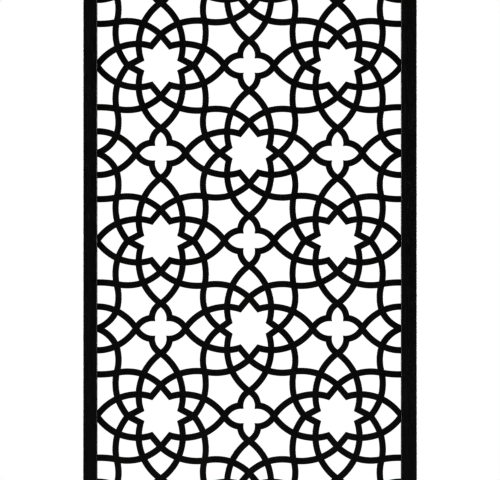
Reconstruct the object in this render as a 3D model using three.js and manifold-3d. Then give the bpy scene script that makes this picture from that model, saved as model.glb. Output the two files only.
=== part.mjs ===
// A black mashrabiya screen of door height: one pierced board of curved, crossing straps,
// with eight-pointed stars and four-petalled openings, held in the groove of a wooden frame.
// The frame has two stiles and two rails, joined by haunched mortise and tenon joints.
// Units are millimetres. X runs across the screen, Y from its front to its back, and Z up.
// The origin is the middle of the bottom edge, half way through the frame's depth.

import * as THREE from "three";
import { mergeVertices } from "three/addons/utils/BufferGeometryUtils.js";
import Module from "manifold-3d";

const wasm = await Module();
wasm.setup();

// Overall sizes
const HEIGHT = 2040;
const LEFT_STILE = 41.3;
const RIGHT_STILE = 46.7;
const OPENING_WIDTH = 912;
const FRAME_DEPTH = 40;
const ARRIS = 2;

// The board, and the groove that holds its border out of sight
const BOARD_THICKNESS = 18;
const GROOVE_DEPTH = 12;
const BORDER_SETBACK = 1;
const CLEARANCE = 0.3;

// The tenons at the rails' ends
const TENON_LENGTH = 28;
const TENON_HEIGHT = 20;

// The strapwork: stars and four-petalled openings take turns, like the squares of a chessboard
const STRAP_WIDTH = 18.5;
const PITCH_X = 265.3;
const PITCH_Z = 263;
const ROWS_ABOVE_CENTRE = 3;
// A level strap reaches the stile this far above or below a row of the outer column's stars
const EDGE_STRAP_HEIGHT = 125.1;
// The straight facets of a curved edge leave the true curve by this much at most
const FACET_ERROR = 2.5;

// The points where the straps of one quarter of a star meet, from the star's centre
const STAR = {
  innerTop: [0, 92.7],
  outerTop: [0, 188.6],
  outerSide: [191.3, 0],
  upperNotch: [28.3, 58.6],
  sideNotch: [60.4, 19.9],
  corner: [66.2, 65.2],
  upperCross: [52.5, 125.4],
};
// The notch between two petals of a four-petalled opening, from that opening's centre
const PETAL_NOTCH = [26.8, 31.4];

// How far each curved strap rises to the left of its chord, or to the right if negative
const STAR_RISES = {
  upperNotchToCorner: 1.2,
  sideNotchToCorner: -1.7,
  cornerToUpperCross: -2.9,
  innerTopToUpperCross: 3,
  upperCrossToOuterTop: -5.3,
  outerTopToPetalNotch: -7.1,
  sideCrossToOuterSide: 5.5,
  outerSideToPetalNotch: 7.7,
};

// The side of a star differs a little from column to column. The straps that leave it cross at
// field, half way to the next star, which is given from the outer column's star.
const OUTER_COLUMN = {
  innerSide: [99, 0],
  sideCross: [129, 53],
  rises: { cornerToSideCross: 3.1, innerSideToSideCross: -2.6, sideCrossToField: -4.6 },
};
const MIDDLE_COLUMN = {
  innerSide: [88, 0],
  sideCross: [130.7, 51.6],
  rises: { cornerToSideCross: 3.3, innerSideToSideCross: -4.6, sideCrossToField: -6.5 },
};
const EDGE_COLUMN = {
  sideCross: [132, 52.6],
  rises: { cornerToSideCross: 4.5, innerSideToSideCross: -8.4, sideCrossToField: -6.3 },
};
const INNER_FIELD = [131.7, 133.7];
const OUTER_FIELD = [132.7, 129.8];
const UPPER_CROSS_TO_FIELD_RISE = { inward: 4.7, outward: 5.7, middle: 5.7, edge: 1.6 };

const BLACK_STAIN = { color: 0x0b0a09, roughness: 0.5, metalness: 0 };

// Sizes that follow
const OPENING_HEIGHT = 2 * (ROWS_ABOVE_CENTRE * PITCH_Z + STAR.outerTop[1]);
const RAIL = (HEIGHT - OPENING_HEIGHT) / 2;
const GROOVE_WIDTH = BOARD_THICKNESS + 2 * CLEARANCE;
const EDGE_X = OPENING_WIDTH / 2 + BORDER_SETBACK;
const EDGE_Z = OPENING_HEIGHT / 2 + BORDER_SETBACK;
const BORDER = GROOVE_DEPTH - BORDER_SETBACK - CLEARANCE;

// Plane geometry

const SAME_POINT = 0.05;
const STRAIGHT_RISE = 0.001;
const TURN = 2 * Math.PI;

const add = (p, q) => [p[0] + q[0], p[1] + q[1]];
const minus = (p, q) => [p[0] - q[0], p[1] - q[1]];
const times = (p, k) => [p[0] * k, p[1] * k];
const cross = (p, q) => p[0] * q[1] - p[1] * q[0];
const leftOf = (p) => [-p[1], p[0]];
const unit = (p) => times(p, 1 / Math.hypot(...p));
const apart = (p, q) => Math.hypot(...minus(p, q));
const angleOf = (p) => Math.atan2(p[1], p[0]);
const nearerTo = (guess, p, q) => (apart(p, guess) < apart(q, guess) ? p : q);

// The arc from start to end that rises to the left of its chord by rise, or to the right if
// rise is negative. A straight line is an arc that rises by next to nothing.
function arc(start, end, rise, halfWidth) {
  const lift = Math.abs(rise) < STRAIGHT_RISE ? STRAIGHT_RISE : rise;
  const side = Math.sign(lift);
  const chord = minus(end, start);
  const half = Math.hypot(...chord) / 2;
  const radius = (half * half + lift * lift) / (2 * Math.abs(lift));
  const middle = times(add(start, end), 0.5);
  const centre = add(middle, times(leftOf(unit(chord)), lift - side * radius));
  return { start, end, rise, halfWidth, side, radius, centre };
}

const reversed = (a) => arc(a.end, a.start, -a.rise, a.halfWidth);

// The direction of travel along an arc at one of its points
const heading = (a, point) => times(leftOf(unit(minus(point, a.centre))), -a.side);

// The arc between two points on the circle of another arc
function partOf(a, start, end) {
  const half = apart(start, end) / 2;
  const rise = a.side * (a.radius - Math.sqrt(a.radius * a.radius - half * half));
  return arc(start, end, rise, a.halfWidth);
}

// Where the circles of two arcs meet, at the point nearer to a guess
function meeting(a, b, guess) {
  const distance = apart(a.centre, b.centre);
  const towards = unit(minus(b.centre, a.centre));
  const along = (distance * distance + a.radius * a.radius - b.radius * b.radius) / (2 * distance);
  const foot = add(a.centre, times(towards, along));
  const reach = times(leftOf(towards), Math.sqrt(a.radius * a.radius - along * along));
  return nearerTo(guess, add(foot, reach), minus(foot, reach));
}

// The points of an arc from its start up to its end, without the end itself
function facets(a) {
  const count = Math.max(1, Math.ceil(Math.sqrt(Math.abs(a.rise) / FACET_ERROR)));
  const from = angleOf(minus(a.start, a.centre));
  const sweep = 2 * Math.asin(apart(a.start, a.end) / (2 * a.radius));
  return Array.from({ length: count }, (_, k) => {
    const angle = from - (a.side * sweep * k) / count;
    return add(a.centre, [a.radius * Math.cos(angle), a.radius * Math.sin(angle)]);
  });
}

// The straps' centre lines

// The straps in one quarter of a star, as [start, end, rise]
function quarterStraps(star, column, field, fieldRise) {
  const besideNotch = [PITCH_X - PETAL_NOTCH[0], PETAL_NOTCH[1]];
  const aboveNotch = [PETAL_NOTCH[0], PITCH_Z - PETAL_NOTCH[1]];
  const rises = { ...STAR_RISES, ...column.rises };
  return [
    [star.innerTop, star.upperNotch, 0],
    [star.upperNotch, star.corner, rises.upperNotchToCorner],
    [star.corner, column.sideCross, rises.cornerToSideCross],
    [column.sideCross, star.outerSide, rises.sideCrossToOuterSide],
    [star.outerSide, besideNotch, rises.outerSideToPetalNotch],
    [column.innerSide, star.sideNotch, 0],
    [star.sideNotch, star.corner, rises.sideNotchToCorner],
    [star.corner, star.upperCross, rises.cornerToUpperCross],
    [star.upperCross, star.outerTop, rises.upperCrossToOuterTop],
    [star.outerTop, aboveNotch, rises.outerTopToPetalNotch],
    [star.innerTop, star.upperCross, rises.innerTopToUpperCross],
    [column.innerSide, column.sideCross, rises.innerSideToSideCross],
    [column.sideCross, field, rises.sideCrossToField],
    [star.upperCross, field, fieldRise],
  ];
}

// Puts a quarter's straps round a star's centre, mirrored where right or up is -1
function placed(straps, centre, right, up) {
  const place = (p) => add(centre, [p[0] * right, p[1] * up]);
  return straps.map(([start, end, rise]) =>
    arc(place(start), place(end), rise * right * up, STRAP_WIDTH / 2));
}

const fromNextStar = (p) => [PITCH_X - p[0], PITCH_Z - p[1]];

// The quarter stars above one row in the right half of the pattern, as [star's x, right,
// straps]. Even rows have stars in the outer column, and odd rows have them in the middle and
// just past the stile. Points that lie on the border's inner edge are put there exactly.
function quartersOfRow(row, star) {
  const rise = UPPER_CROSS_TO_FIELD_RISE;
  if (row % 2 === 0) {
    const besideStile = { ...star, outerSide: [EDGE_X - PITCH_X, 0] };
    return [
      [PITCH_X, -1, quarterStraps(star, OUTER_COLUMN, INNER_FIELD, rise.inward)],
      [PITCH_X, 1, quarterStraps(besideStile, OUTER_COLUMN, OUTER_FIELD, rise.outward)],
    ];
  }
  const edge = 2 * PITCH_X - EDGE_X;
  const pastStile = { ...star, upperCross: [edge, PITCH_Z - EDGE_STRAP_HEIGHT] };
  const edgeColumn = { ...EDGE_COLUMN, innerSide: [edge, 0] };
  return [
    [0, 1, quarterStraps(star, MIDDLE_COLUMN, fromNextStar(INNER_FIELD), rise.middle)],
    [2 * PITCH_X, -1, quarterStraps(pastStile, edgeColumn, fromNextStar(OUTER_FIELD), rise.edge)],
  ];
}

// A star whose points on the border's inner edge are put there exactly: its outer top in the
// last row before a rail, and its inner top in the row just past the rail
function starNearRail(row) {
  const toEdge = Math.abs(EDGE_Z - Math.abs(row) * PITCH_Z);
  const lastRow = Math.abs(row) === ROWS_ABOVE_CENTRE;
  return lastRow ? { ...STAR, outerTop: [0, toEdge] } : { ...STAR, innerTop: [0, toEdge] };
}

// Every strap of the pattern, from the row just past one rail to the row just past the other
function allStraps() {
  const straps = [];
  for (let row = -ROWS_ABOVE_CENTRE - 1; row <= ROWS_ABOVE_CENTRE + 1; row += 1) {
    for (const up of [-1, 1]) {
      const pastRail = Math.abs(row) > ROWS_ABOVE_CENTRE;
      const facesRail = Math.abs(row) === ROWS_ABOVE_CENTRE && up * row > 0;
      const star = pastRail || facesRail ? starNearRail(row) : STAR;
      for (const [x, right, quarter] of quartersOfRow(row, star)) {
        straps.push(...placed(quarter, [x, row * PITCH_Z], right, up));
        straps.push(...placed(quarter, [-x, row * PITCH_Z], -right, up));
      }
    }
  }
  return straps;
}

// How far a point lies past the border's inner edge along each axis
const past = (p) => [Math.abs(p[0]) - EDGE_X, Math.abs(p[1]) - EDGE_Z];
const isInside = (p) => Math.max(...past(p)) < -SAME_POINT;
const isOutside = (p) => Math.max(...past(p)) > SAME_POINT;

// Cuts a strap off where it crosses the border's inner edge
function trimmed(strap) {
  const away = [strap.start, strap.end].find(isOutside);
  if (!away) return strap;
  const axis = past(away)[0] > SAME_POINT ? 0 : 1;
  const line = Math.sign(away[axis]) * [EDGE_X, EDGE_Z][axis];
  const side = line - strap.centre[axis];
  const along = Math.sqrt(strap.radius * strap.radius - side * side);
  const crossing = (offset) => {
    const other = strap.centre[1 - axis] + offset;
    return axis === 0 ? [line, other] : [other, line];
  };
  const cut = nearerTo(away, crossing(along), crossing(-along));
  return away === strap.start ? partOf(strap, cut, strap.end) : partOf(strap, strap.start, cut);
}

// The border's inner edges, in pieces from one strap to the next. They have no width, because
// an opening reaches right up to them.
function borderEdges(straps) {
  const corners = [[1, -1], [1, 1], [-1, 1], [-1, -1]].map(([x, z]) => [x * EDGE_X, z * EDGE_Z]);
  return corners.flatMap((corner, i) => {
    const next = corners[(i + 1) % corners.length];
    const along = unit(minus(next, corner));
    const stops = straps.flatMap((strap) => [strap.start, strap.end])
      .filter((p) => Math.abs(cross(along, minus(p, corner))) < SAME_POINT)
      .concat([corner, next])
      .sort((p, q) => apart(p, corner) - apart(q, corner));
    const distinct = stops.filter((p, k) => k === 0 || apart(p, stops[k - 1]) > SAME_POINT);
    return distinct.slice(1).map((p, k) => arc(distinct[k], p, 0, 0));
  });
}

// The openings between the straps

const TWIN_ANGLE = 0.001;

// The number of a point in a list, which grows when the point is new
function numberOf(point, points) {
  const known = points.findIndex((p) => apart(p, point) < SAME_POINT);
  return known < 0 ? points.push(point) - 1 : known;
}

// Twice the area inside a ring of arcs, taking each as its chord: negative if it runs clockwise
const doubleArea = (ring) => ring.reduce((sum, a) => sum + cross(a.start, a.end), 0);

// Every ring of centre lines round one opening, with the opening on the left of each line
function openingRings(lines) {
  const points = [];
  const sides = lines.flatMap((line) => [line, reversed(line)]);
  for (const side of sides) {
    side.from = numberOf(side.start, points);
    side.to = numberOf(side.end, points);
  }
  const leaving = points.map((_, number) => sides.filter((side) => side.from === number));
  // At a crossing, the next side of the same opening is the first one clockwise of the way
  // back. The way back itself comes last.
  const nextSide = (side) => {
    const back = angleOf(heading(side, side.end)) + Math.PI - TWIN_ANGLE;
    const turn = (s) => (back - angleOf(heading(s, s.start)) + 2 * TURN) % TURN;
    return leaving[side.to].reduce((best, s) => (turn(s) < turn(best) ? s : best));
  };
  const rings = [];
  const walked = new Set();
  for (const first of sides) {
    const ring = [];
    for (let side = first; !walked.has(side); side = nextSide(side)) {
      walked.add(side);
      ring.push(side);
    }
    if (doubleArea(ring) > 0) rings.push(ring);
  }
  return rings;
}

// The outline of the opening in a ring: each centre line moved in by half its strap's width
function openingOutline(ring) {
  const edges = ring.map((a) => ({ ...a, radius: a.radius + a.side * a.halfWidth }));
  const corners = edges.map((edge, i) => meeting(edges.at(i - 1), edge, edge.start));
  return edges.flatMap((edge, i) => facets(partOf(edge, corners[i], corners[(i + 1) % edges.length])));
}

// The pierced board

const SLIVER_HEIGHT = 0.1;

const vectors = (points) => points.map((p) => new THREE.Vector2(...p));

// The same faces, with the corners that they share stored once
function merged(geometry) {
  geometry.deleteAttribute("normal");
  geometry.deleteAttribute("uv");
  return mergeVertices(geometry);
}

// Gives every triangle some height. Where corners of openings lie in one line, as they do along
// the border, a flat face can get triangles that have none. Such a triangle and the one across
// its longest edge are split along their other diagonal instead.
function withoutSlivers(geometry) {
  const { position } = geometry.attributes;
  const corners = Array.from({ length: position.count }, (_, i) =>
    new THREE.Vector3().fromBufferAttribute(position, i));
  const triangles = Array.from({ length: geometry.index.count / 3 }, (_, i) =>
    Array.from(geometry.index.array.subarray(3 * i, 3 * i + 3)));
  const edgesOf = ([a, b, c]) => [[a, b, c], [b, c, a], [c, a, b]];
  const length = ([a, b]) => corners[a].distanceTo(corners[b]);
  const longest = (t) => edgesOf(t).reduce((e, f) => (length(f) > length(e) ? f : e));
  const area = (t) => new THREE.Triangle(...t.map((i) => corners[i])).getArea();
  const height = (t) => (2 * area(t)) / length(longest(t));
  const owner = new Map();
  const note = (number) =>
    edgesOf(triangles[number]).forEach(([a, b]) => owner.set(`${a} ${b}`, number));
  triangles.forEach((_, number) => note(number));
  let improved = true;
  while (improved) {
    improved = false;
    triangles.forEach((triangle, number) => {
      if (height(triangle) > SLIVER_HEIGHT) return;
      const [from, to, tip] = longest(triangle);
      const across = owner.get(`${to} ${from}`);
      const far = triangles[across].find((i) => i !== from && i !== to);
      const pair = [[from, far, tip], [far, to, tip]];
      const before = Math.min(height(triangle), height(triangles[across]));
      if (Math.min(...pair.map(height)) <= before) return;
      [triangles[number], triangles[across]] = pair;
      note(number);
      note(across);
      improved = true;
    });
  }
  geometry.setIndex(triangles.flat());
  return geometry;
}

// The whole board, standing upright round its own middle
function latticeBoard() {
  const straps = allStraps().filter((s) => isInside(s.start) || isInside(s.end)).map(trimmed);
  const rings = openingRings([...straps, ...borderEdges(straps)]);
  const x = EDGE_X + BORDER;
  const z = EDGE_Z + BORDER;
  const outline = new THREE.Shape(vectors([[-x, -z], [x, -z], [x, z], [-x, z]]));
  outline.holes = rings.map((ring) => new THREE.Path(vectors(openingOutline(ring))));
  const board = new THREE.ExtrudeGeometry(outline, { depth: BOARD_THICKNESS, bevelEnabled: false });
  board.rotateX(Math.PI / 2).translate(0, BOARD_THICKNESS / 2, 0);
  return withoutSlivers(merged(board));
}

// The frame's members. Each lies along Z, from its inner face at x = 0 to its outer face.

function toSolid(geometry) {
  const { attributes, index } = merged(geometry);
  const vertProperties = new Float32Array(attributes.position.array);
  const triVerts = new Uint32Array(index.array);
  return new wasm.Manifold(new wasm.Mesh({ numProp: 3, vertProperties, triVerts }));
}

function toGeometry(solid) {
  const { vertProperties, triVerts } = solid.getMesh();
  const geometry = new THREE.BufferGeometry();
  geometry.setAttribute("position", new THREE.BufferAttribute(vertProperties, 3));
  geometry.setIndex(new THREE.BufferAttribute(triVerts, 1));
  return geometry;
}

// A bar with a groove in its inner face, and with its four long edges taken off
function bar(width, length) {
  const face = FRAME_DEPTH / 2;
  const groove = GROOVE_WIDTH / 2;
  const front = [
    [GROOVE_DEPTH, -groove],
    [0, -groove],
    [0, -face + ARRIS],
    [ARRIS, -face],
    [width - ARRIS, -face],
    [width, -face + ARRIS],
  ];
  const back = front.map(([x, y]) => [x, -y]).reverse();
  const section = new THREE.Shape(vectors([...front, ...back]));
  const solid = new THREE.ExtrudeGeometry(section, { depth: length, bevelEnabled: false });
  return toSolid(solid.translate(0, 0, -length / 2));
}

// A block between two values of x, of a given thickness, round z = middle
function block(fromX, toX, thickness, middle, length) {
  const box = new THREE.BoxGeometry(toX - fromX, thickness, length);
  return toSolid(box.translate((fromX + toX) / 2, 0, middle));
}

// A stile, with a mortise near each end. The groove runs right through, past both mortises.
function stile(width) {
  const middle = OPENING_HEIGHT / 2 + GROOVE_DEPTH + TENON_HEIGHT / 2;
  const length = TENON_HEIGHT + 2 * CLEARANCE;
  const mortise = (z) => block(-CLEARANCE, TENON_LENGTH + CLEARANCE, GROOVE_WIDTH, z, length);
  return toGeometry(bar(width, HEIGHT).subtract(mortise(middle)).subtract(mortise(-middle)));
}

// A rail, with a tenon at each end, and a haunch that fills the end of the stile's groove
function rail() {
  const tenonSpan = OPENING_WIDTH + 2 * TENON_LENGTH;
  const haunchSpan = OPENING_WIDTH + 2 * (GROOVE_DEPTH - CLEARANCE);
  const tenons = block(GROOVE_DEPTH, GROOVE_DEPTH + TENON_HEIGHT, BOARD_THICKNESS, 0, tenonSpan);
  const haunches = block(GROOVE_DEPTH + TENON_HEIGHT / 2, RAIL, BOARD_THICKNESS, 0, haunchSpan);
  return toGeometry(bar(RAIL, OPENING_WIDTH - 2 * CLEARANCE).add(tenons).add(haunches));
}

// The whole screen, set out from the middle of the opening. That lies a little left of the
// screen's own middle, because the right stile is the wider one.

const opening = new THREE.Group();
opening.position.set((LEFT_STILE - RIGHT_STILE) / 2, 0, HEIGHT / 2);

function addPiece(name, geometry, place, turn) {
  const piece = new THREE.Mesh(geometry, new THREE.MeshStandardMaterial(BLACK_STAIN));
  piece.name = name;
  piece.position.set(...place);
  piece.rotation.set(...turn);
  opening.add(piece);
}

const QUARTER_TURN = Math.PI / 2;
const SIDE = OPENING_WIDTH / 2;
const TOP = OPENING_HEIGHT / 2;

addPiece("stile_left", stile(LEFT_STILE), [-SIDE, 0, 0], [0, 0, 2 * QUARTER_TURN]);
addPiece("stile_right", stile(RIGHT_STILE), [SIDE, 0, 0], [0, 0, 0]);
addPiece("rail_top", rail(), [0, 0, TOP], [0, -QUARTER_TURN, 0]);
addPiece("rail_bottom", rail(), [0, 0, -TOP], [0, QUARTER_TURN, 0]);
addPiece("lattice_panel", latticeBoard(), [0, 0, 0], [0, 0, 0]);

const screen = new THREE.Group();
screen.add(opening);

export default screen;
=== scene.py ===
"""A black mashrabiya screen of door height: a pierced board of curved, crossing straps in a frame.

The straps are drawn in the plane of the board in millimetres, from its middle. A point of that
drawing is a complex number: its real part runs across the screen and its imaginary part up it.
Meshes are in metres, with X across the screen, Y from its front to its back, and Z up.
"""

import cmath
import logging
import math
from dataclasses import dataclass, field, replace
from enum import Enum
from functools import cached_property
from typing import Iterable

import bmesh
import bpy
from mathutils import Matrix, Vector
from mathutils.geometry import delaunay_2d_cdt


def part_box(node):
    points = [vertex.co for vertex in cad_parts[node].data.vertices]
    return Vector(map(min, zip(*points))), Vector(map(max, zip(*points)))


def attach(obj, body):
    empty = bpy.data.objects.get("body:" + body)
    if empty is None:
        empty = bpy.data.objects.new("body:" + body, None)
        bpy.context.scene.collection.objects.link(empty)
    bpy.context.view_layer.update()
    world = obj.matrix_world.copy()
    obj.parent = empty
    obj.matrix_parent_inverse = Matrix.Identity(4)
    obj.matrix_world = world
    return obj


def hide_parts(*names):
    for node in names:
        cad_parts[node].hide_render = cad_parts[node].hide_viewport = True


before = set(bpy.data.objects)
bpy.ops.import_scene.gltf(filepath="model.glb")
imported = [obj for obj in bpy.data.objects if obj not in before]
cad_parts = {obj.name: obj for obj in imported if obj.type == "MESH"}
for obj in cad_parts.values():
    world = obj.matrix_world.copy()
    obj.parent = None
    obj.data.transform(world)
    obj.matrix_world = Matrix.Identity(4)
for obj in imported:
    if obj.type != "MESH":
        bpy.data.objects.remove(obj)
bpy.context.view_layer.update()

log = logging.getLogger("mashrabiya_screen")

# A millimetre in metres
MM = 0.001
# Points of the drawing that lie nearer than this are one point, in millimetres
SAME_POINT = 0.05
# A straight line is drawn as an arc that rises by this much, in millimetres
STRAIGHT_RISE = 0.001
# The angle that puts the way back last, when the sides that leave a crossing are compared
TWIN_ANGLE = 0.001
QUARTER_TURN = math.pi / 2
# Edges of a mesh that turn by more than this stay sharp
CREASE = math.radians(34)
# What delaunay_2d_cdt is told: to leave holes open, and how near two corners may lie
HOLES_STAY_OPEN = 2
NEAREST_CORNERS = 1e-7

Quarter = list[tuple[complex, complex, float]]


# Plane geometry


def unit(p: complex) -> complex:
    """Returns the direction of a point from the origin."""
    return p / abs(p)


def mirrored(p: complex, right: int, up: int) -> complex:
    """Returns a point mirrored across where right or up is -1."""
    return complex(p.real * right, p.imag * up)


def nearer_to(guess: complex, p: complex, q: complex) -> complex:
    """Returns the one of two points that lies nearer to a guess."""
    return p if abs(p - guess) < abs(q - guess) else q


@dataclass(frozen=True)
class Circle:
    """A circle with a way to travel round it.

    Attributes:
        centre: Its centre.
        radius: Its radius.
        side: 1 if the way round turns to the right, or -1 if it turns to the left.
    """

    centre: complex
    radius: float
    side: int

    def moved_left(self, distance: float) -> "Circle":
        """Returns the circle whose line runs to the left of this one's, by a distance."""
        return replace(self, radius=self.radius + self.side * distance)

    def heading(self, point: complex) -> complex:
        """Returns the direction of travel at one of the circle's points."""
        return -1j * self.side * unit(point - self.centre)

    def meeting(self, other: "Circle", guess: complex) -> complex:
        """Finds where two circles meet.

        Args:
            other: The other circle.
            guess: A point near the meeting that is wanted.

        Returns:
            The meeting nearer to the guess.
        """
        between = other.centre - self.centre
        distance = abs(between)
        along = (distance**2 + self.radius**2 - other.radius**2) / (2 * distance)
        foot = self.centre + unit(between) * along
        reach = 1j * unit(between) * math.sqrt(self.radius**2 - along**2)
        return nearer_to(guess, foot + reach, foot - reach)

    def arc(self, start: complex, end: complex, half_width: float) -> "Arc":
        """Cuts an arc out of the circle.

        Args:
            start: Its start, on the circle.
            end: Its end, on the circle.
            half_width: Half of its strap's width.

        Returns:
            The arc, which is the shorter way round.
        """
        half = abs(end - start) / 2
        rise = self.side * (self.radius - math.sqrt(self.radius**2 - half**2))
        return Arc(start, end, rise, half_width)


@dataclass(frozen=True)
class Arc:
    """The centre line of a strap between two crossings, or one edge of an opening.

    Attributes:
        start: Where it starts.
        end: Where it ends.
        rise: How far it rises to the left of its chord, or to the right if negative.
        half_width: Half of its strap's width.
    """

    start: complex
    end: complex
    rise: float
    half_width: float

    @cached_property
    def circle(self) -> Circle:
        """The circle that it lies on.

        Returns:
            The circle, which is very wide where the arc is straight.
        """
        lift = self.rise if abs(self.rise) > STRAIGHT_RISE else STRAIGHT_RISE
        side = 1 if lift > 0 else -1
        chord = self.end - self.start
        half = abs(chord) / 2
        radius = (half**2 + lift**2) / (2 * abs(lift))
        middle = (self.start + self.end) / 2
        return Circle(middle + 1j * unit(chord) * (lift - side * radius), radius, side)

    @cached_property
    def backwards(self) -> "Arc":
        """The same arc, travelled the other way."""
        return Arc(self.end, self.start, -self.rise, self.half_width)

    def facets(self, error: float) -> int:
        """Returns how many straight facets keep within an error of the arc."""
        return max(1, math.ceil(math.sqrt(abs(self.rise) / error)))

    def points(self, count: int) -> list[complex]:
        """Lists points along the arc, from its start up to its end.

        Args:
            count: Their number.

        Returns:
            The points, without the end itself.
        """
        circle = self.circle
        sweep = 2 * math.asin(abs(self.end - self.start) / (2 * circle.radius))
        spoke = self.start - circle.centre
        turns = [cmath.exp(-1j * circle.side * sweep * k / count) for k in range(count)]
        return [circle.centre + spoke * turn for turn in turns]


# The strapwork


@dataclass(frozen=True)
class Star:
    """The points where the straps of one quarter of a star meet, from the star's centre."""

    inner_top: complex = 92.7j
    outer_top: complex = 188.6j
    outer_side: complex = 191.3 + 0j
    upper_notch: complex = 28.3 + 58.6j
    side_notch: complex = 60.4 + 19.9j
    corner: complex = 66.2 + 65.2j
    upper_cross: complex = 52.5 + 125.4j


@dataclass(frozen=True)
class StarRises:
    """How far each curved strap of a quarter star rises to the left of its chord."""

    upper_notch_to_corner: float = 1.2
    side_notch_to_corner: float = -1.7
    corner_to_upper_cross: float = -2.9
    inner_top_to_upper_cross: float = 3.0
    upper_cross_to_outer_top: float = -5.3
    outer_top_to_petal_notch: float = -7.1
    side_cross_to_outer_side: float = 5.5
    outer_side_to_petal_notch: float = 7.7


@dataclass(frozen=True)
class Column:
    """The side of a star, which differs a little from column to column.

    Attributes:
        inner_side: The tip of the star's side ray.
        side_cross: Where two straps cross above that tip.
        corner_rise: The rise of the strap from the star's corner to the side cross.
        inner_side_rise: The rise of the strap from the inner side to the side cross.
        field_rise: The rise of the strap from the side cross to the field's crossing.
    """

    inner_side: complex
    side_cross: complex
    corner_rise: float
    inner_side_rise: float
    field_rise: float


@dataclass(frozen=True)
class Strapwork:
    """Straps round stars and four-petalled openings, which take turns like a chessboard's squares.

    Attributes:
        edge_x: Half of the width inside the border.
        edge_z: Half of the height inside the border.
        strap_width: The width of every strap.
        pitch_x: The step from one column to the next.
        pitch_z: The step from one row to the next.
        rows: How many rows lie above the middle one.
        edge_strap_height: How far from a row of stars a level strap reaches the stile.
        petal_notch: The notch between two petals, from the middle of their opening.
        inner_field: Where straps cross between the middle and outer columns.
        outer_field: Where straps cross between the outer column and the stile.
        field_rise_inward: The rise of the strap from an outer star's upper cross to inner_field.
        field_rise_outward: The rise of the strap from the same cross to outer_field.
        field_rise_middle: The rise of the same strap of a star in the middle column.
        field_rise_edge: The rise of the same strap of a star just past the stile.
        star: The points of a star.
        rises: The rises of a star's straps.
        outer_column: The side of the stars in the outer column.
        middle_column: The side of the stars in the middle column.
        edge_column: The side of the stars just past the stile.
    """

    edge_x: float
    edge_z: float
    strap_width: float = 18.5
    pitch_x: float = 265.3
    pitch_z: float = 263.0
    rows: int = 3
    edge_strap_height: float = 125.1
    petal_notch: complex = 26.8 + 31.4j
    inner_field: complex = 131.7 + 133.7j
    outer_field: complex = 132.7 + 129.8j
    field_rise_inward: float = 4.7
    field_rise_outward: float = 5.7
    field_rise_middle: float = 5.7
    field_rise_edge: float = 1.6
    star: Star = Star()
    rises: StarRises = StarRises()
    outer_column: Column = Column(
        inner_side=99 + 0j, side_cross=129 + 53j, corner_rise=3.1, inner_side_rise=-2.6, field_rise=-4.6
    )
    middle_column: Column = Column(
        inner_side=88 + 0j, side_cross=130.7 + 51.6j, corner_rise=3.3, inner_side_rise=-4.6, field_rise=-6.5
    )
    edge_column: Column = Column(
        inner_side=88 + 0j, side_cross=132 + 52.6j, corner_rise=4.5, inner_side_rise=-8.4, field_rise=-6.3
    )

    def quarter(self, star: Star, column: Column, crossing: complex, rise: float) -> Quarter:
        """Lists the straps in one quarter of a star.

        Args:
            star: The points of the star.
            column: The points of its side.
            crossing: Where the straps cross half way to the next star.
            rise: The rise of the strap from the upper cross to that crossing.

        Returns:
            Each strap's start, end and rise.
        """
        notch, rises = self.petal_notch, self.rises
        beside_notch = complex(self.pitch_x - notch.real, notch.imag)
        above_notch = complex(notch.real, self.pitch_z - notch.imag)
        return [
            (star.inner_top, star.upper_notch, 0.0),
            (star.upper_notch, star.corner, rises.upper_notch_to_corner),
            (star.corner, column.side_cross, column.corner_rise),
            (column.side_cross, star.outer_side, rises.side_cross_to_outer_side),
            (star.outer_side, beside_notch, rises.outer_side_to_petal_notch),
            (column.inner_side, star.side_notch, 0.0),
            (star.side_notch, star.corner, rises.side_notch_to_corner),
            (star.corner, star.upper_cross, rises.corner_to_upper_cross),
            (star.upper_cross, star.outer_top, rises.upper_cross_to_outer_top),
            (star.outer_top, above_notch, rises.outer_top_to_petal_notch),
            (star.inner_top, star.upper_cross, rises.inner_top_to_upper_cross),
            (column.inner_side, column.side_cross, column.inner_side_rise),
            (column.side_cross, crossing, column.field_rise),
            (star.upper_cross, crossing, rise),
        ]

    def quarters_of_row(self, row: int, star: Star) -> list[tuple[float, int, Quarter]]:
        """Lists the quarter stars above a row, in the right half of the pattern.

        Even rows have stars in the outer column, and odd rows have them in the middle and just
        past the stile. Points on the border's inner edge are put there exactly.

        Args:
            row: The row, counted up from the middle one.
            star: The points of its stars.

        Returns:
            Each quarter's place across the pattern, its direction from there, and its straps.
        """
        pitch = complex(self.pitch_x, self.pitch_z)
        if row % 2 == 0:
            beside_stile = replace(star, outer_side=complex(self.edge_x - self.pitch_x))
            column = self.outer_column
            inward = self.quarter(star, column, self.inner_field, self.field_rise_inward)
            outward = self.quarter(beside_stile, column, self.outer_field, self.field_rise_outward)
            return [(self.pitch_x, -1, inward), (self.pitch_x, 1, outward)]
        past = 2 * self.pitch_x - self.edge_x
        past_star = replace(star, upper_cross=complex(past, self.pitch_z - self.edge_strap_height))
        past_column = replace(self.edge_column, inner_side=complex(past))
        to_inner, to_outer = pitch - self.inner_field, pitch - self.outer_field
        middle = self.quarter(star, self.middle_column, to_inner, self.field_rise_middle)
        edge = self.quarter(past_star, past_column, to_outer, self.field_rise_edge)
        return [(0.0, 1, middle), (2 * self.pitch_x, -1, edge)]

    def star_of_row(self, row: int, up: int) -> Star:
        """Fits a row's star to the rails.

        Args:
            row: The row, counted up from the middle one.
            up: 1 for the upper half of the star, or -1 for the lower half.

        Returns:
            The star's points, with those on the border's inner edge put there exactly.
        """
        to_edge = 1j * abs(self.edge_z - abs(row) * self.pitch_z)
        if abs(row) > self.rows:
            return replace(self.star, inner_top=to_edge)
        if abs(row) == self.rows and up * row > 0:
            return replace(self.star, outer_top=to_edge)
        return self.star

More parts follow.
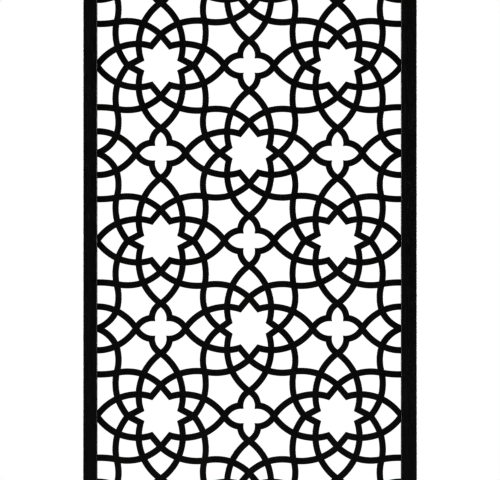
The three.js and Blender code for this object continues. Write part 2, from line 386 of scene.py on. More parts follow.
    def placed(self, quarter: Quarter, centre: complex, right: int, up: int) -> list[Arc]:
        """Puts a quarter's straps round a star's centre.

        Args:
            quarter: Each strap's start, end and rise, from the star's centre.
            centre: The star's centre.
            right: 1 for the right side of the star, or -1 for the left.
            up: 1 for the upper half of the star, or -1 for the lower.

        Returns:
            The straps.
        """
        half = self.strap_width / 2
        straps = []
        for start, end, rise in quarter:
            ends = [centre + mirrored(p, right, up) for p in (start, end)]
            straps.append(Arc(*ends, rise * right * up, half))
        return straps

    def all_straps(self) -> list[Arc]:
        """Lists every strap.

        Returns:
            The straps, from the row past one rail to the row past the other.
        """
        straps = []
        for row in range(-self.rows - 1, self.rows + 2):
            for up in (-1, 1):
                for x, right, quarter in self.quarters_of_row(row, self.star_of_row(row, up)):
                    z = row * self.pitch_z
                    straps += self.placed(quarter, complex(x, z), right, up)
                    straps += self.placed(quarter, complex(-x, z), -right, up)
        return straps

    def past_edge(self, p: complex) -> tuple[float, float]:
        """Returns how far a point lies past the border's inner edge, across and up."""
        return abs(p.real) - self.edge_x, abs(p.imag) - self.edge_z

    def trimmed(self, strap: Arc) -> Arc:
        """Cuts a strap off where it crosses the border's inner edge.

        Args:
            strap: A strap with an end inside the border.

        Returns:
            The part of it inside the border.
        """
        outside = [p for p in (strap.start, strap.end) if max(self.past_edge(p)) > SAME_POINT]
        if not outside:
            return strap
        away, circle = outside[0], strap.circle
        if self.past_edge(away)[0] > SAME_POINT:
            line = math.copysign(self.edge_x, away.real)
            reach = 1j * math.sqrt(circle.radius**2 - (line - circle.centre.real) ** 2)
            foot = complex(line, circle.centre.imag)
        else:
            line = math.copysign(self.edge_z, away.imag)
            reach = math.sqrt(circle.radius**2 - (line - circle.centre.imag) ** 2)
            foot = complex(circle.centre.real, line)
        cut = nearer_to(away, foot + reach, foot - reach)
        ends = (cut, strap.end) if away == strap.start else (strap.start, cut)
        return circle.arc(*ends, strap.half_width)

    def border_edges(self, straps: list[Arc]) -> list[Arc]:
        """Lists the border's inner edges.

        Args:
            straps: The straps, cut off at the border.

        Returns:
            The edges, in pieces from one strap to the next.
        """
        signs = [(1, -1), (1, 1), (-1, 1), (-1, -1)]
        corners = [complex(right * self.edge_x, up * self.edge_z) for right, up in signs]
        ends = [p for strap in straps for p in (strap.start, strap.end)]
        edges = []
        for corner, following in zip(corners, corners[1:] + corners[:1]):
            along = unit(following - corner)
            stops = [p for p in ends if abs(((p - corner) / along).imag) < SAME_POINT]
            stops = sorted([*stops, corner, following], key=lambda p: abs(p - corner))
            steps = [(p, q) for p, q in zip(stops, stops[1:]) if abs(p - q) > SAME_POINT]
            edges += [Arc(p, q, 0.0, 0.0) for p, q in steps]
        return edges

    def rings(self) -> list[list[Arc]]:
        """Traces the centre lines round each opening.

        Returns:
            A ring of arcs for each opening, with the opening on the left of every arc.
        """
        straps = [s for s in self.all_straps() if self.reaches_inside(s)]
        straps = [self.trimmed(s) for s in straps]
        lines = straps + self.border_edges(straps)
        sides = [side for line in lines for side in (line, line.backwards)]
        crossings = Crossings(sides)
        rings, walked = [], set()
        for first in range(len(sides)):
            ring, number = [], first
            while number not in walked:
                walked.add(number)
                ring.append(sides[number])
                number = crossings.next_side(number)
            if sum((side.start.conjugate() * side.end).imag for side in ring) > 0:
                rings.append(ring)
        return rings

    def reaches_inside(self, strap: Arc) -> bool:
        """Says whether either end of a strap lies inside the border."""
        return any(max(self.past_edge(p)) < -SAME_POINT for p in (strap.start, strap.end))


class Crossings:
    """The points where sides of straps meet, and the sides that leave each of them."""

    def __init__(self, sides: list[Arc]) -> None:
        """Numbers the crossings and notes which sides leave each.

        Args:
            sides: Every centre line, once in each direction.
        """
        self.sides = sides
        self.points: list[complex] = []
        self.leaving: list[list[int]] = []
        for number, side in enumerate(sides):
            self.leaving[self.number_of(side.start)].append(number)

    def number_of(self, point: complex) -> int:
        """Finds a point's number.

        Args:
            point: The point, which gets a number if it is new.

        Returns:
            Its number.
        """
        known = [k for k, p in enumerate(self.points) if abs(p - point) < SAME_POINT]
        if known:
            return known[0]
        self.points.append(point)
        self.leaving.append([])
        return len(self.points) - 1

    def next_side(self, number: int) -> int:
        """Finds the side that follows another round the same opening.

        Args:
            number: The number of the side that arrives at a crossing.

        Returns:
            The number of the first side clockwise of the way back, which itself comes last.
        """
        side = self.sides[number]
        back = cmath.phase(side.circle.heading(side.end)) + math.pi - TWIN_ANGLE

        def turn(other: int) -> float:
            """Returns how far clockwise of the way back another side leaves."""
            leaves = self.sides[other]
            return (back - cmath.phase(leaves.circle.heading(leaves.start))) % math.tau

        return min(self.leaving[self.number_of(side.end)], key=turn)


def opening_outline(ring: list[Arc], widening: float, error: float) -> list[complex]:
    """Draws the outline of the opening in a ring of centre lines.

    Args:
        ring: The centre lines, with the opening on their left.
        widening: How far the outline is pushed out into the straps.
        error: How far a facet may leave its true curve.

    Returns:
        The outline's points. Their number doesn't depend on the widening.
    """
    edges = [side.circle.moved_left(side.half_width - widening) for side in ring]
    corners = [edges[k - 1].meeting(edges[k], side.start) for k, side in enumerate(ring)]
    ends = corners[1:] + corners[:1]
    outline = []
    for side, edge, start, end in zip(ring, edges, corners, ends):
        outline += edge.arc(start, end, side.half_width).points(side.facets(error))
    return outline


# Meshes


@dataclass
class Shell:
    """One closed mesh, made of rings of corners that lie in planes of equal depth.

    Every ring has the air on its left, as seen from the front. A ring's point is a complex
    number in its plane, in millimetres.

    Attributes:
        corners: The mesh's corners.
        faces: The numbers of each face's corners.
    """

    corners: list[Vector] = field(default_factory=list)
    faces: list[tuple[int, ...]] = field(default_factory=list)

    def ring(self, points: Iterable[complex], depth: float) -> list[int]:
        """Adds a ring.

        Args:
            points: Its corners in its plane.
            depth: The depth of its plane.

        Returns:
            The numbers of its corners.
        """
        first = len(self.corners)
        self.corners += [Vector((p.real, depth, p.imag)) for p in points]
        return list(range(first, len(self.corners)))

    def join(self, near: list[int], far: list[int], skip: Iterable[int] = ()) -> None:
        """Puts a wall between two rings with the same number of corners.

        Args:
            near: The ring at the smaller depth.
            far: The ring at the greater depth.
            skip: The numbers of the wall's faces that are left out.
        """
        count = len(near)
        for k in range(count):
            if k not in skip:
                after = (k + 1) % count
                self.faces.append((near[k], near[after], far[after], far[k]))

    def close(self, rings: list[list[int]], faces_front: bool) -> None:
        """Fills the flat area between an outline and the rings of its holes.

        Args:
            rings: The outline's ring, and then the holes' rings.
            faces_front: Whether the area faces the front.
        """
        numbers = [number for ring in rings for number in ring]
        flat = [self.corners[number].xz for number in numbers]
        polygons, first = [], 0
        for ring in rings:
            polygons.append(list(range(first, first + len(ring))))
            first += len(ring)
        filled = delaunay_2d_cdt(flat, [], polygons, HOLES_STAY_OPEN, NEAREST_CORNERS)
        _, _, triangles, origins, _, _ = filled
        for triangle in triangles:
            face = tuple(numbers[origins[corner][0]] for corner in triangle)
            self.faces.append(face if faces_front else face[::-1])

    def piece(self, name: str, placing: Matrix) -> bpy.types.Object:
        """Makes the mesh an object whose own origin is the screen's.

        Args:
            name: The object's name.
            placing: Where the shell stands in the screen, in millimetres.

        Returns:
            The object.
        """
        mesh = bpy.data.meshes.new(name)
        to_metres = Matrix.Scale(MM, 4) @ placing
        mesh.from_pydata([to_metres @ corner for corner in self.corners], [], self.faces)
        mesh.validate()
        mesh.shade_smooth()
        mesh.set_sharp_from_angle(angle=CREASE)
        piece = bpy.data.objects.new(name, mesh)
        bpy.context.scene.collection.objects.link(piece)
        flat_faces = piece.modifiers.new("flat_faces_stay_flat", "WEIGHTED_NORMAL")
        flat_faces.keep_sharp = True
        return piece


def eased_edge(radius: float, steps: int) -> list[tuple[float, float]]:
    """Lists the steps of a rounded edge, from the face that it starts in.

    Args:
        radius: The radius of the round.
        steps: How many facets it has.

    Returns:
        For each step, how far it is set in from the wall and how deep it lies.
    """
    angles = [QUARTER_TURN * k / steps for k in range(steps + 1)]
    return [(radius * (1 - math.sin(a)), radius * (1 - math.cos(a))) for a in angles]


# Finishes

Socket = bpy.types.NodeSocket
Value = float | Socket
WHITE = (1.0, 1.0, 1.0, 1.0)


class Grain(Enum):
    """Which way the grain of a member runs, as the stretch of its pattern along X, Y and Z."""

    UPRIGHT = (1.0, 1.0, 0.05)
    LEVEL = (0.05, 1.0, 1.0)


class Sheet:
    """The shader nodes of one material, or of the room."""

    def __init__(self, owner: bpy.types.Material | bpy.types.World) -> None:
        """Clears the nodes.

        Args:
            owner: The material or the room.
        """
        owner.use_nodes = True
        self.tree = owner.node_tree
        self.tree.nodes.clear()

    def node(self, kind: str, inputs: dict | None = None, **settings: object) -> bpy.types.Node:
        """Adds a node.

        Args:
            kind: The node's type, without its ShaderNode prefix.
            inputs: Values for its sockets, or other nodes' sockets to link to them.
            settings: The node's own settings.

        Returns:
            The node.
        """
        node = self.tree.nodes.new("ShaderNode" + kind)
        for name, value in settings.items():
            setattr(node, name, value)
        for name, value in (inputs or {}).items():
            if isinstance(value, Socket):
                self.tree.links.new(value, node.inputs[name])
            else:
                node.inputs[name].default_value = value
        return node

    def sums(self, operation: str, a: Value, b: Value = 0.0, c: Value = 0.0) -> Socket:
        """Adds a sum over up to three numbers or sockets, and returns its result."""
        return self.node("Math", {0: a, 1: b, 2: c}, operation=operation).outputs[0]

    def weighed(self, start: Value, *terms: tuple[Socket, float]) -> Value:
        """Adds up sockets by their weights.

        Args:
            start: What they are added to.
            terms: Each socket and its weight.

        Returns:
            The total.
        """
        total = start
        for socket, weight in terms:
            total = self.sums("MULTIPLY_ADD", socket, weight, total)
        return total

    def vectors(self, operation: str, a: Socket, b: object) -> Socket:
        """Adds a sum over two vectors, and returns its result."""
        return self.node("VectorMath", {0: a, 1: b}, operation=operation).outputs[0]

    def length(self, vector: Socket) -> Socket:
        """Adds the length of a vector, and returns it."""
        return self.node("VectorMath", {0: vector}, operation="LENGTH").outputs["Value"]

    def stretched(self, value: Value, low: float, high: float, to: tuple = (0.0, 1.0)) -> Socket:
        """Stretches the values between low and high to another range, and cuts off the rest."""
        inputs = {"Value": value, "From Min": low, "From Max": high, "To Min": to[0], "To Max": to[1]}
        return self.node("MapRange", inputs).outputs["Result"]

    def noise(self, vector: Socket, scale: float, detail: float, wander: float = 0.0) -> Socket:
        """Adds noise of a scale in ripples per metre, and returns its value."""
        inputs = {"Vector": vector, "Scale": scale, "Detail": detail, "Distortion": wander}
        return self.node("TexNoise", inputs).outputs["Fac"]


@dataclass(frozen=True)
class BlackLacquer:
    """Black stain under satin lacquer, over open grain that runs one way.

    Attributes:
        name: The material's name.
        grain: Which way the grain runs.
        stave_width: The width of the staves that a board is glued up from, in metres, or 0.
        stave_shift: How far apart in the log two staves may be cut, in metres.
        stain: The colour where the stain is deepest.
        thin_stain: The colour where the wood took less stain.
        patch_tone: How far the palest patches turn to the thin stain.
        ring_tone: How far hard late wood does.
        pore_tone: How far a pore turns back to the deepest stain.
        roughness: The roughness of the lacquer on early wood, half way between its patches.
        patch_roughness: How far its patches differ in that.
        ring_roughness: What hard late wood adds to it.
        pore_roughness: What a pore adds to it.
        heart: Where the heart of the log lies, in metres.
        ring_stretch: A further stretch of the rings along the grain.
        ring_scale: Growth rings in a metre.
        ring_wander: How far the rings leave true circles, in metres.
        ring_power: How sharply a ring rises to its late wood.
        ring_relief: How deep the late wood sinks, as a share of a pore's depth.
        pore_scale: Pores in a metre, across the grain.
        pore_level: How strong a speck has to be to open as a pore in early wood.
        pore_crowding: How much stronger it has to be in late wood.
        pore_edge: How soon a pore is at its full depth.
        pore_depth: The depth of a pore, in metres.
        ripple_depth: The depth of the lacquer's own fine ripple, in metres.
    """

    name: str
    grain: Grain
    stave_width: float = 0.0
    stave_shift: float = 3.0
    stain: tuple[float, float, float] = (0.0032, 0.0030, 0.0029)
    thin_stain: tuple[float, float, float] = (0.0110, 0.0095, 0.0086)
    patch_tone: float = 0.6
    ring_tone: float = 0.55
    pore_tone: float = 0.45
    roughness: float = 0.33
    patch_roughness: float = 0.16
    ring_roughness: float = 0.07
    pore_roughness: float = 0.14
    heart: tuple[float, float, float] = (0.11, 0.13, 0.07)
    ring_stretch: float = 0.5
    ring_scale: float = 34.0
    ring_wander: float = 0.34
    ring_power: float = 2.2
    ring_relief: float = 0.25
    pore_scale: float = 620.0
    pore_level: float = 0.56
    pore_crowding: float = 0.09
    pore_edge: float = 0.07
    pore_depth: float = 0.00016
    ripple_depth: float = 0.00004

    def material(self) -> bpy.types.Material:
        """Builds the material.

        Returns:
            The material, with its grain set out in the screen's own space.
        """
        material = bpy.data.materials.new(self.name)
        sheet = Sheet(material)
        place = self.place_in_wood(sheet)
        rings = self.rings(sheet, place)
        pores = self.pores(sheet, place, rings)
        patches = sheet.noise(place, scale=5.0, detail=3.0, wander=0.4)
        tone = sheet.weighed(
            0.0, (patches, self.patch_tone), (rings, self.ring_tone), (pores, -self.pore_tone)
        )
        stains = {6: (*self.stain, 1.0), 7: (*self.thin_stain, 1.0)}
        colour = sheet.node("Mix", {0: tone, **stains}, data_type="RGBA")
        rough = sheet.weighed(
            self.roughness - self.patch_roughness / 2,
            (patches, self.patch_roughness),
            (rings, self.ring_roughness),
            (pores, self.pore_roughness),
        )
        shader = sheet.node(
            "BsdfPrincipled",
            {
                "Base Color": colour.outputs[2],
                "Roughness": rough,
                "Normal": self.surface(sheet, place, rings, pores),
                "IOR": 1.5,
                "Coat Weight": 0.4,
                "Coat Roughness": 0.22,
            },
        )
        sheet.node("OutputMaterial", {"Surface": shader.outputs[0]})
        return material

    def place_in_wood(self, sheet: Sheet) -> Socket:
        """Finds a place in the wood.

        Args:
            sheet: The material's nodes.

        Returns:
            The place in the log. Each stave of a board is cut from another part of it.
        """
        place = sheet.node("TexCoord").outputs["Object"]
        if not self.stave_width:
            return place
        across = sheet.node("SeparateXYZ", {0: place}).outputs["X"]
        stave = sheet.sums("FLOOR", sheet.sums("DIVIDE", across, self.stave_width))
        draw = sheet.node("TexWhiteNoise", {"W": stave}, noise_dimensions="1D").outputs["Color"]
        return sheet.vectors("ADD", place, sheet.vectors("MULTIPLY", draw, (self.stave_shift,) * 3))

    def rings(self, sheet: Sheet, place: Socket) -> Socket:
        """Draws the growth rings.

        Args:
            sheet: The material's nodes.
            place: The place in the log.

        Returns:
            A value from 0 in soft early wood to 1 in hard late wood.
        """
        wander = sheet.noise(self.along_grain(sheet, place), scale=2.6, detail=3.0, wander=0.6)
        distance = sheet.weighed(self.from_heart(sheet, place), (wander, self.ring_wander))
        turns = sheet.sums("FRACT", sheet.sums("MULTIPLY", distance, self.ring_scale))
        return sheet.sums("POWER", turns, self.ring_power)

    def from_heart(self, sheet: Sheet, place: Socket) -> Socket:
        """Measures how far a place lies from the heart of the log.

        Args:
            sheet: The material's nodes.
            place: The place in the log.

        Returns:
            The distance.
        """
        stretch = self.grain.value
        scale = tuple(self.ring_stretch if v < 1.0 else 1.0 for v in stretch)
        inputs = {"Vector": place, "Scale": scale, "Location": self.heart}
        from_heart = sheet.node("Mapping", inputs, vector_type="POINT").outputs[0]
        return sheet.length(sheet.vectors("MULTIPLY", from_heart, stretch))

    def pores(self, sheet: Sheet, place: Socket, rings: Socket) -> Socket:
        """Draws the open pores, which crowd into the early wood.

        Args:
            sheet: The material's nodes.
            place: The place in the log.
            rings: The growth rings.

        Returns:
            A value of 1 in a pore and 0 beside it.
        """
        specks = sheet.noise(self.along_grain(sheet, place), self.pore_scale, detail=2.0)
        level = sheet.weighed(self.pore_level, (rings, self.pore_crowding))
        return sheet.stretched(sheet.sums("SUBTRACT", specks, level), 0.0, self.pore_edge)

    def along_grain(self, sheet: Sheet, place: Socket) -> Socket:
        """Stretches a place along the grain."""
        return sheet.vectors("MULTIPLY", place, self.grain.value)

    def surface(self, sheet: Sheet, place: Socket, rings: Socket, pores: Socket) -> Socket:
        """Presses the pores and rings into the surface, and ripples the lacquer over them.

        Args:
            sheet: The material's nodes.
            place: The place in the log.
            rings: The growth rings.
            pores: The open pores.

        Returns:
            The direction that the surface faces.
        """
        dents = sheet.weighed(0.0, (pores, -1.0), (rings, -self.ring_relief))
        wood = sheet.node("Bump", {"Height": dents, "Strength": 0.7, "Distance": self.pore_depth})
        ripple = sheet.noise(place, scale=260.0, detail=2.0)
        inputs = {"Height": ripple, "Strength": 0.5, "Distance": self.ripple_depth}
        return sheet.node("Bump", {**inputs, "Normal": wood.outputs[0]}).outputs[0]


# The pieces


def dressed(piece: bpy.types.Object, node: str, finish: BlackLacquer) -> None:
    """Finishes a piece that stands for a solid, and says so.

    Args:
        piece: The piece.
        node: The solid that it stands for.
        finish: The finish.
    """
    piece.data.materials.append(finish.material())
    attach(piece, "root")
    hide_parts(node)
    low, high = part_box(node)
    size = [round(v / MM, 1) for v in high - low]
    triangles = sum(len(face.vertices) - 2 for face in piece.data.polygons)
    log.info("%s stands for %s, %s mm, with %d triangles", piece.name, node, size, triangles)


@dataclass(frozen=True)
class Opening:
    """The opening of the frame, in millimetres, as the frame's own solids leave it.

    Attributes:
        centre: Its middle, half way through the frame's depth.
        width: Its width, from stile to stile.
        height: Its height, from rail to rail.
    """

    centre: Vector
    width: float
    height: float

    @classmethod
    def measured(cls) -> "Opening":
        """Measures the opening between the solids of the frame.

        Returns:
            The opening.
        """
        left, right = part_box("stile_left")[1].x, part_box("stile_right")[0].x
        bottom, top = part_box("rail_bottom")[1].z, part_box("rail_top")[0].z
        centre = Vector(((left + right) / 2, 0.0, (bottom + top) / 2)) / MM
        return cls(centre, (right - left) / MM, (top - bottom) / MM)


@dataclass(frozen=True)
class LatticePanel:
    """The pierced board, whose plain border sits in the frame's groove.

    Attributes:
        opening: The opening that it fills.
        border_setback: How far the border's inner edge lies inside the groove.
        arris: The radius of every eased edge.
        arris_steps: How many facets that has.
        facet_error: How far a facet may leave the true curve of a strap.
    """

    opening: Opening
    border_setback: float = 1.0
    arris: float = 1.0
    arris_steps: int = 3
    facet_error: float = 0.12

    def levels(self, thickness: float) -> list[tuple[float, float]]:
        """Lists the board's levels from front to back.

        Args:
            thickness: The board's thickness.

        Returns:
            For each level, how far it is set in and how deep it lies.
        """
        face = thickness / 2
        front = [(inset, depth - face) for inset, depth in eased_edge(self.arris, self.arris_steps)]
        return front + [(inset, -depth) for inset, depth in reversed(front)]

    def shell(self) -> Shell:
        """Builds the board's mesh.

        Returns:
            The mesh, round the board's own middle.
        """
        edge_x = self.opening.width / 2 + self.border_setback
        edge_z = self.opening.height / 2 + self.border_setback
        rings = Strapwork(edge_x, edge_z).rings()
        low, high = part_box("lattice_panel")
        size = (high - low) / MM
        levels = self.levels(size.y)
        shell = Shell()
        outlines = []
        for inset, depth in levels:
            x, z = size.x / 2 - inset, size.z / 2 - inset
            border = [complex(-x, -z), complex(-x, z), complex(x, z), complex(x, -z)]
            holes = [opening_outline(ring, inset, self.facet_error) for ring in rings]
            outlines.append([shell.ring(points, depth) for points in [border, *holes]])
        for near, far in zip(outlines, outlines[1:]):
            for near_ring, far_ring in zip(near, far):
                shell.join(near_ring, far_ring)
        shell.close(outlines[0], faces_front=True)
        shell.close(outlines[-1], faces_front=False)
        log.info("the board has %d openings", len(rings))
        return shell

    def build(self) -> bpy.types.Object:
        """Builds and dresses the board.

        Returns:
            The board.
        """
        placing = Matrix.Translation(self.opening.centre)
        piece = self.shell().piece("eased_lattice_panel", placing)
        finish = BlackLacquer("black_lattice_lacquer", Grain.UPRIGHT, stave_width=0.118)
        dressed(piece, "lattice_panel", finish)
        return piece


@dataclass(frozen=True)
class GroovedBar:
    """What the frame's members have in common: a bar with a groove in its inner face.

    A section's point is a complex number from the middle of the inner face: its real part runs
    out to the outer face, and its imaginary part through the depth.

    Attributes:
        depth: The frame's depth.
        arris: The radius of the long edges.
        arris_steps: How many facets that has.
        end_ease: How far the edges of an end are eased.
        end_ease_steps: How many facets that has.
        groove_width: The width of the groove.
        groove_depth: The depth of the groove.
        clearance: The gap between parts that fit together.
        tenon_length: How far a rail's tenon reaches past its shoulder.
        tenon_height: The height of a tenon.
    """

    depth: float = 40.0
    arris: float = 2.0
    arris_steps: int = 5
    end_ease: float = 0.8
    end_ease_steps: int = 2
    groove_width: float = 18.6
    groove_depth: float = 12.0
    clearance: float = 0.3
    tenon_length: float = 28.0
    tenon_height: float = 20.0

    def section(self, width: float, inset: float) -> list[complex]:
        """Draws the section of a bar.

        Args:
            width: The bar's width.
            inset: How far the section is drawn in from its full size.

        Returns:
            Its points clockwise, from one corner of the groove's bottom to the other.
        """
        inner, outer, face = inset, width - inset, self.depth / 2 - inset
        radius = self.arris - inset
        half_groove = self.groove_width / 2 + inset
        bottom = self.groove_depth + inset
        centres = [
            complex(inner + radius, face - radius),
            complex(outer - radius, face - radius),
            complex(outer - radius, radius - face),
            complex(inner + radius, radius - face),
        ]
        rounds = []
        for k, centre in enumerate(centres):
            for step in range(self.arris_steps + 1):
                angle = math.pi - QUARTER_TURN * (k + step / self.arris_steps)
                rounds.append(centre + cmath.rect(radius, angle))
        mouth = [complex(bottom, half_groove), complex(inner, half_groove)]
        return mouth + rounds + [p.conjugate() for p in reversed(mouth)]


@dataclass(frozen=True)
class Stile(GroovedBar):
    """An upright of the frame, with a mortise near each end of its groove."""

    def shell(self, width: float, length: float, opening_height: float) -> Shell:
        """Builds a stile's mesh, with its length running through the depth of its rings.

        Args:
            width: Its width.
            length: Its length.
            opening_height: The height of the frame's opening.

        Returns:
            The mesh, round the middle of the stile's inner face.
        """
        near_end = opening_height / 2 + self.groove_depth - self.clearance
        far_end = near_end + self.tenon_height + 2 * self.clearance
        ease = eased_edge(self.end_ease, self.end_ease_steps)
        end = [(inset, depth - length / 2) for inset, depth in ease]
        start = [*end, (0.0, -far_end), (0.0, -near_end)]
        stations = start + [(inset, -depth) for inset, depth in reversed(start)]
        shell = Shell()
        rings = [shell.ring(self.section(width, inset), depth) for inset, depth in stations]
        mortises = (len(end), len(stations) - len(end) - 2)
        for k, (near, far) in enumerate(zip(rings, rings[1:])):
            bottom = len(near) - 1
            shell.join(near, far, skip=[bottom] if k in mortises else [])
            if k in mortises:
                self.sink_mortise(shell, near, far)
        shell.close([rings[0]], faces_front=True)
        shell.close([rings[-1]], faces_front=False)
        return shell

    def sink_mortise(self, shell: Shell, near: list[int], far: list[int]) -> None:
        """Sinks a mortise into the bottom of the groove.

        Args:
            shell: The stile's mesh.
            near: The ring at the mortise's nearer end.
            far: The ring at its farther end.
        """
        mouth = [near[-1], near[0], far[0], far[-1]]
        first = len(shell.corners)
        sink = Vector((self.tenon_length + self.clearance - self.groove_depth, 0.0, 0.0))
        shell.corners += [shell.corners[number] + sink for number in mouth]
        floor = [first + k for k in range(len(mouth))]
        shell.faces.append(tuple(floor))
        shell.join(mouth, floor)

    def build(self, name: str, opening: Opening) -> bpy.types.Object:
        """Builds and dresses one stile.

        Args:
            name: The name of its solid.
            opening: The opening of the frame.

        Returns:
            The stile.
        """
        low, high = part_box(name)
        size = (high - low) / MM
        on_left = high.x < 0.0
        inner = high.x if on_left else low.x
        shell = self.shell(size.x, size.z, opening.height)
        stand_up = Matrix.Rotation(QUARTER_TURN, 4, "X")
        face_in = Matrix.Rotation(math.pi if on_left else 0.0, 4, "Z")
        place = Matrix.Translation((inner / MM, 0.0, opening.centre.z))
        piece = shell.piece("eased_" + name, place @ face_in @ stand_up)
        dressed(piece, name, BlackLacquer(name + "_lacquer", Grain.UPRIGHT))
        return piece


@dataclass(frozen=True)
class Rail(GroovedBar):
    """A cross piece of the frame, with a tenon at each end and a haunch behind it.

    Attributes:
        tongue_thickness: The thickness of a tenon and its haunch.
        hair: A step so small that it only keeps two faces out of one plane.
        tenon_chamfer: The chamfer round a tenon's end.
    """

    tongue_thickness: float = 18.0
    hair: float = 0.1
    tenon_chamfer: float = 1.5

    def shell(self, width: float, opening_width: float) -> Shell:
        """Builds a rail's mesh, with its length running through the depth of its rings.

        Args:
            width: The rail's height in the frame.
            opening_width: The width of the frame's opening.

        Returns:
            The mesh, round the middle of the rail's inner face.
        """
        shell = Shell()
        shoulder = opening_width / 2 - self.clearance
        near = shell.ring(self.section(width, 0.0), -shoulder)
        far = shell.ring(self.section(width, 0.0), shoulder)
        shell.join(near, far)
        self.add_tongue(shell, near, width, opening_width / 2, -1)
        self.add_tongue(shell, far, width, opening_width / 2, 1)
        return shell

    def add_tongue(self, shell: Shell, shoulder: list[int], width: float, side: float, end: int) -> None:
        """Adds the tenon and haunch at one end of a rail.

        Args:
            shell: The rail's mesh.
            shoulder: The ring round the rail's shoulder.
            width: The rail's height in the frame.
            side: How far the stile's inner face lies from the rail's middle.
            end: -1 for the end at the smaller depth, and 1 for the other.
        """
        face = self.tongue_thickness / 2
        foot = self.groove_depth + self.hair
        step = self.groove_depth + self.tenon_height
        head = width - self.hair

        def outline(heights: list[float], edge: float) -> list[complex]:
            """Draws a rectangle clockwise, with a corner at each height on both of its sides."""
            return [complex(u, edge) for u in heights] + [complex(u, -edge) for u in reversed(heights)]

        def tongue(heights: list[float], inset: float, depth: float) -> list[int]:
            """Adds the ring of a tongue."""
            return shell.ring(outline(heights, face - inset), end * depth)

        def run(rings: list[list[int]]) -> None:
            """Joins rings that are listed from the shoulder outward."""
            for inner, outer in zip(rings, rings[1:]):
                shell.join(*((inner, outer) if end > 0 else (outer, inner)))

        chamfer = self.tenon_chamfer
        reach = side + self.tenon_length
        root = tongue([foot, step, head], 0.0, side - self.clearance)
        haunch = tongue([foot, step, head], 0.0, side + self.groove_depth - self.clearance)
        tenon = [haunch[0], haunch[1], haunch[4], haunch[5]]
        body = tongue([foot, step], 0.0, reach - chamfer)
        tip = tongue([foot + chamfer, step - chamfer], chamfer, reach)
        shell.close([shoulder, root], faces_front=end < 0)
        run([root, haunch])
        run([tenon, body, tip])
        ledge = (haunch[1], haunch[2], haunch[3], haunch[4])
        shell.faces.append(ledge if end > 0 else ledge[::-1])
        shell.close([tip], faces_front=end < 0)

    def build(self, name: str, opening: Opening) -> bpy.types.Object:
        """Builds and dresses one rail.

        Args:
            name: The name of its solid.
            opening: The opening of the frame.

        Returns:
            The rail.
        """
        low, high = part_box(name)
        size = (high - low) / MM
        on_top = low.z > opening.centre.z * MM
        inner = low.z if on_top else high.z
        shell = self.shell(size.z, opening.width)
        stand_up = Matrix.Rotation(QUARTER_TURN, 4, "X")
        lie_down = Matrix.Rotation(-QUARTER_TURN if on_top else QUARTER_TURN, 4, "Y")
        place = Matrix.Translation((opening.centre.x, 0.0, inner / MM))
        piece = shell.piece("eased_" + name, place @ lie_down @ stand_up)
        dressed(piece, name, BlackLacquer(name + "_lacquer", Grain.LEVEL))
        return piece


# The studio


@dataclass(frozen=True)
class Softbox:
    """A square lamp with a soft face.

    Attributes:
        name: Its name.
        place: Where it hangs, in metres.
        size: The length of its sides.
        power: Its power in watts.
    """

    name: str
    place: tuple[float, float, float]
    size: float
    power: float

    def hang(self, aim: Vector) -> None:
        """Hangs the lamp.

        Args:
            aim: The point that it faces.
        """
        light = bpy.data.lights.new(self.name, "AREA")
        light.shape = "SQUARE"
        light.size = self.size
        light.energy = self.power
        lamp = bpy.data.objects.new(self.name, light)
        lamp.location = self.place
        lamp.rotation_euler = (aim - Vector(self.place)).to_track_quat("-Z", "Y").to_euler()
        lamp.visible_camera = False
        bpy.context.scene.collection.objects.link(lamp)
        log.info("%s hangs at %s", self.name, self.place)


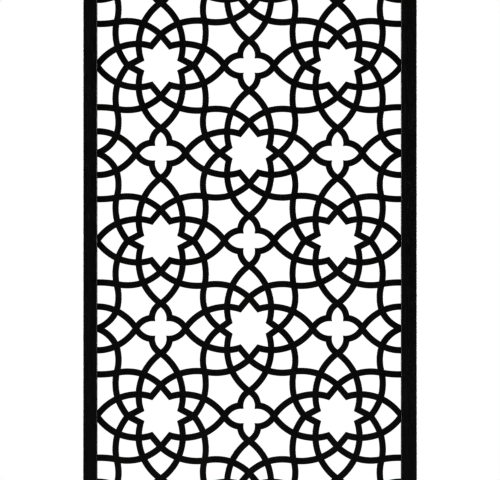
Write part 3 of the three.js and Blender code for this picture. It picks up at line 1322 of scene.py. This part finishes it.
@dataclass(frozen=True)
class Studio:
    """A plain pale floor that fades into white, with soft light.

    Attributes:
        opening: The opening of the screen's frame, which the camera looks at.
        view_width: The width that the picture covers at the board's front face, in metres.
        view_rise: How far the middle of the picture lies above the middle of the opening.
        view_shift: How far it lies to the right of it.
        lens: The camera's focal length, in millimetres.
        sight: How far the camera sees, in distances from it to the board.
        floor_radius: How far the floor reaches.
        floor_sides: How many sides its outline has.
        clear_radius: Where the floor starts to fade.
        floor_tone: How pale the floor is.
        mirrored_floor_tone: How pale it is to the light that it throws back at the screen.
        surround: How bright the room is, as the screen's lacquer mirrors it.
        picture_gamma: The picture's gamma. Below 1 it keeps thin black straps at their full width.
    """

    opening: Opening
    view_width: float = 1.5
    view_rise: float = 0.0024
    view_shift: float = 0.0026
    lens: float = 400.0
    sight: float = 3.0
    floor_radius: float = 4.6
    floor_sides: int = 96
    clear_radius: float = 0.7
    floor_tone: float = 0.4
    mirrored_floor_tone: float = 0.22
    surround: float = 0.06
    picture_gamma: float = 0.6
    softboxes: tuple[Softbox, ...] = (
        Softbox("overhead_softbox", (-0.6, -0.4, 6.0), 3.4, 450.0),
        Softbox("left_softbox", (-4.7, -1.9, 1.3), 2.4, 260.0),
        Softbox("right_softbox", (4.8, -1.5, 1.5), 2.4, 300.0),
        Softbox("rear_left_softbox", (-3.8, 2.8, 1.5), 2.2, 220.0),
        Softbox("rear_right_softbox", (4.0, 2.6, 1.4), 2.2, 260.0),
    )

    def place_camera(self) -> None:
        """Sets a camera far in front of the screen, level with the middle of the picture."""
        lens = bpy.data.cameras.new("front_camera")
        lens.lens = self.lens
        distance = self.view_width * self.lens / lens.sensor_width
        lens.clip_end = self.sight * distance
        camera = bpy.data.objects.new("front_camera", lens)
        front_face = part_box("lattice_panel")[0].y
        middle = self.opening.centre * MM
        camera.location = (middle.x + self.view_shift, front_face - distance, middle.z + self.view_rise)
        camera.rotation_euler = (QUARTER_TURN, 0.0, 0.0)
        bpy.context.scene.collection.objects.link(camera)
        bpy.context.scene.camera = camera
        log.info("the camera stands %.2f m in front", distance)

    def light_room(self) -> None:
        """Hangs the softboxes in a room that looks white and is dim in reflections."""
        for softbox in self.softboxes:
            softbox.hang(self.opening.centre * MM)
        world = bpy.data.worlds.new("white_room")
        bpy.context.scene.world = world
        sheet = Sheet(world)
        seen = sheet.node("Background", {"Color": WHITE, "Strength": 1.0})
        felt = sheet.node("Background", {"Color": WHITE, "Strength": self.surround})
        straight = sheet.node("LightPath").outputs["Is Camera Ray"]
        room = sheet.node("MixShader", {0: straight, 1: felt.outputs[0], 2: seen.outputs[0]})
        sheet.node("OutputWorld", {"Surface": room.outputs[0]})

    def pale_floor(self) -> bpy.types.Material:
        """Builds the floor's material.

        Returns:
            A matt material that fades into the white of the room, as the camera sees it.
        """
        material = bpy.data.materials.new("pale_floor")
        sheet = Sheet(material)
        reach = sheet.length(sheet.node("TexCoord").outputs["Object"])
        ramp = sheet.stretched(reach, self.clear_radius, self.floor_radius)
        fade = sheet.node("MapRange", {"Value": ramp}, interpolation_type="SMOOTHSTEP").outputs[0]
        straight = sheet.node("LightPath").outputs["Is Camera Ray"]
        tone = sheet.stretched(straight, 0.0, 1.0, (self.mirrored_floor_tone, self.floor_tone))
        matt = sheet.node("BsdfDiffuse", {"Color": tone})
        white = sheet.node("Emission", {"Color": WHITE, "Strength": 1.0})
        seen_fade = sheet.sums("MULTIPLY", fade, straight)
        blend = sheet.node("MixShader", {0: seen_fade, 1: matt.outputs[0], 2: white.outputs[0]})
        sheet.node("OutputMaterial", {"Surface": blend.outputs[0]})
        return material

    def lay_floor(self) -> None:
        """Lays a round floor under the screen."""
        mesh = bpy.data.meshes.new("floor")
        disc = bmesh.new()
        bmesh.ops.create_circle(disc, cap_ends=True, segments=self.floor_sides, radius=self.floor_radius)
        disc.to_mesh(mesh)
        disc.free()
        mesh.materials.append(self.pale_floor())
        floor = bpy.data.objects.new("floor", mesh)
        bpy.context.scene.collection.objects.link(floor)

    def set_up(self) -> None:
        """Sets up the camera, the lights and the floor."""
        self.place_camera()
        self.light_room()
        self.lay_floor()
        picture = bpy.context.scene.view_settings
        picture.view_transform = "Standard"
        picture.gamma = self.picture_gamma


def main() -> None:
    """Builds the screen and its studio, in order."""
    logging.basicConfig(level=logging.INFO, format="%(message)s")
    opening = Opening.measured()
    Studio(opening).set_up()
    LatticePanel(opening).build()
    for name in ("stile_left", "stile_right"):
        Stile().build(name, opening)
    for name in ("rail_bottom", "rail_top"):
        Rail().build(name, opening)


if __name__ == "__main__":
    main()
